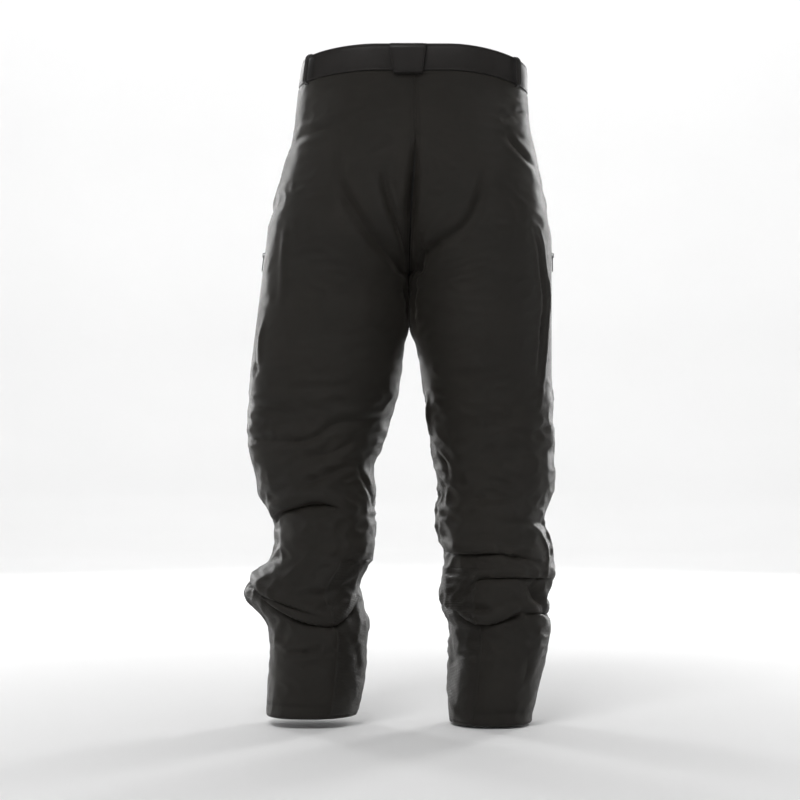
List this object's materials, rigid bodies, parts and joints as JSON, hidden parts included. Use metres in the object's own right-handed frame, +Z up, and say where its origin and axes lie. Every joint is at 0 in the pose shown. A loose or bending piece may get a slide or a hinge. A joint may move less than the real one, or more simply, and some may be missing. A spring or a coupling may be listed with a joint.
{
  "type": "ski pants",
  "caption": "Insulated ski pants as worn: waistband with belt loops and snap tab, panelled legs with zips, inner snow gaiters and ankle scuff guards.",
  "frame": {"origin": "centre of the waist opening, midway between its sides and between its front and back, 11 mm below the top edge of the waistband at the centre back", "axes": "+Z up, +Y the way the wearer faces, +X towards the wearer's right"},
  "size_m": [0.4608, 0.2527, 0.9989],
  "materials": {
    "shell_fabric": "matte, tight soft-shell twill with a faint sheen",
    "band_fabric": "matte, same cloth as the shell, doubled",
    "lining": "smooth taffeta",
    "mesh": "open knitted mesh",
    "scuff_fabric": "coarse coated plain weave",
    "webbing": "ribbed elastic",
    "zip_tape": "fine herringbone tape",
    "zip_plastic": "satin",
    "metal": "dark plated, satin"
  },
  "bodies": {
    "shell": {"back_panel_left": "shell_fabric", "front_thigh_panel_left": "shell_fabric", "knee_panel_left": "shell_fabric", "shin_panel_left": "shell_fabric", "pocket_bag_left": "lining", "vent_mesh_left": "mesh", "scuff_guard_left": "scuff_fabric", "gaiter_left": "lining", "gaiter_elastic_left": "webbing", "gaiter_hook_left": "metal", "belt_loop_back_left": "band_fabric", "belt_loop_front_left": "band_fabric", "back_panel_right": "shell_fabric", "front_thigh_panel_right": "shell_fabric", "knee_panel_right": "shell_fabric", "shin_panel_right": "shell_fabric", "pocket_bag_right": "lining", "vent_mesh_right": "mesh", "scuff_guard_right": "scuff_fabric", "gaiter_right": "lining", "gaiter_elastic_right": "webbing", "gaiter_hook_right": "metal", "belt_loop_back_right": "band_fabric", "belt_loop_front_right": "band_fabric", "belt_loop_back_centre": "band_fabric", "waistband": "band_fabric", "waistband_facing": "lining", "fly_shield": "lining", "fly_zip_tape": "zip_tape", "fly_zip_chain": "zip_plastic", "pocket_zip_tape_left": "zip_tape", "pocket_zip_chain_left": "zip_plastic", "pocket_zip_tape_right": "zip_tape", "pocket_zip_chain_right": "zip_plastic", "vent_zip_tape_left": "zip_tape", "vent_zip_chain_left": "zip_plastic", "vent_zip_tape_right": "zip_tape", "vent_zip_chain_right": "zip_plastic", "snap_stud_1": "metal", "snap_stud_2": "metal"},
    "waist_tab": {"waist_tab": "band_fabric", "snap_cap_1": "metal", "snap_cap_2": "metal", "snap_socket_1": "metal", "snap_socket_2": "metal"},
    "fly_zip_slider": {"fly_zip_slider": "metal"},
    "fly_zip_pull": {"fly_zip_pull": "zip_plastic"},
    "pocket_zip_slider_left": {"pocket_zip_slider_left": "metal"},
    "pocket_zip_pull_left": {"pocket_zip_pull_left": "zip_plastic"},
    "pocket_zip_slider_right": {"pocket_zip_slider_right": "metal"},
    "pocket_zip_pull_right": {"pocket_zip_pull_right": "zip_plastic"},
    "vent_zip_slider_left": {"vent_zip_slider_left": "metal"},
    "vent_zip_pull_left": {"vent_zip_pull_left": "zip_plastic"},
    "vent_zip_slider_right": {"vent_zip_slider_right": "metal"},
    "vent_zip_pull_right": {"vent_zip_pull_right": "zip_plastic"}
  },
  "joints": [
    {"name": "fly_zip_slide", "type": "slide", "parent": "shell", "child": "fly_zip_slider", "axis": [0, 0.0482, -0.9988], "range_m": [0, 0.123]},
    {"name": "fly_zip_pull_hinge", "type": "hinge", "parent": "fly_zip_slider", "child": "fly_zip_pull", "pos_m": [0.00292, 0.10654, -0.0769], "axis": [1, 0, 0], "range_deg": [0, 160]},
    {"name": "pocket_zip_left_slide", "type": "slide", "parent": "shell", "child": "pocket_zip_slider_left", "axis": [-0.3956, -0.3082, -0.8652], "range_m": [0, 0.133]},
    {"name": "pocket_zip_left_pull_hinge", "type": "hinge", "parent": "pocket_zip_slider_left", "child": "pocket_zip_pull_left", "pos_m": [-0.14373, 0.07713, -0.0896], "axis": [0.3947, 0.7936, -0.4631], "range_deg": [0, 160]},
    {"name": "pocket_zip_right_slide", "type": "slide", "parent": "shell", "child": "pocket_zip_slider_right", "axis": [0.3496, -0.3279, -0.8777], "range_m": [0, 0.127]},
    {"name": "pocket_zip_right_pull_hinge", "type": "hinge", "parent": "pocket_zip_slider_right", "child": "pocket_zip_pull_right", "pos_m": [0.14328, 0.07649, -0.09372], "axis": [0.4051, -0.7918, 0.4571], "range_deg": [0, 160]},
    {"name": "vent_zip_left_slide", "type": "slide", "parent": "shell", "child": "vent_zip_slider_left", "axis": [-0.1285, 0.1055, -0.9861], "range_m": [0, 0.152]},
    {"name": "vent_zip_left_pull_hinge", "type": "hinge", "parent": "vent_zip_slider_left", "child": "vent_zip_pull_left", "pos_m": [-0.22294, -0.01054, -0.29363], "axis": [0, 0.9943, 0.1064], "range_deg": [0, 160]},
    {"name": "vent_zip_right_slide", "type": "slide", "parent": "shell", "child": "vent_zip_slider_right", "axis": [0.0083, 0.1064, -0.9943], "range_m": [0, 0.151]},
    {"name": "vent_zip_right_pull_hinge", "type": "hinge", "parent": "vent_zip_slider_right", "child": "vent_zip_pull_right", "pos_m": [0.20842, -0.01051, -0.29393], "axis": [0, -0.9943, -0.1064], "range_deg": [0, 160]},
    {"name": "waist_tab_hinge", "type": "hinge", "parent": "shell", "child": "waist_tab", "pos_m": [-0.0455, 0.1042, -0.0375], "axis": [0, 0, 1], "range_deg": [0, 55]}
  ]
}
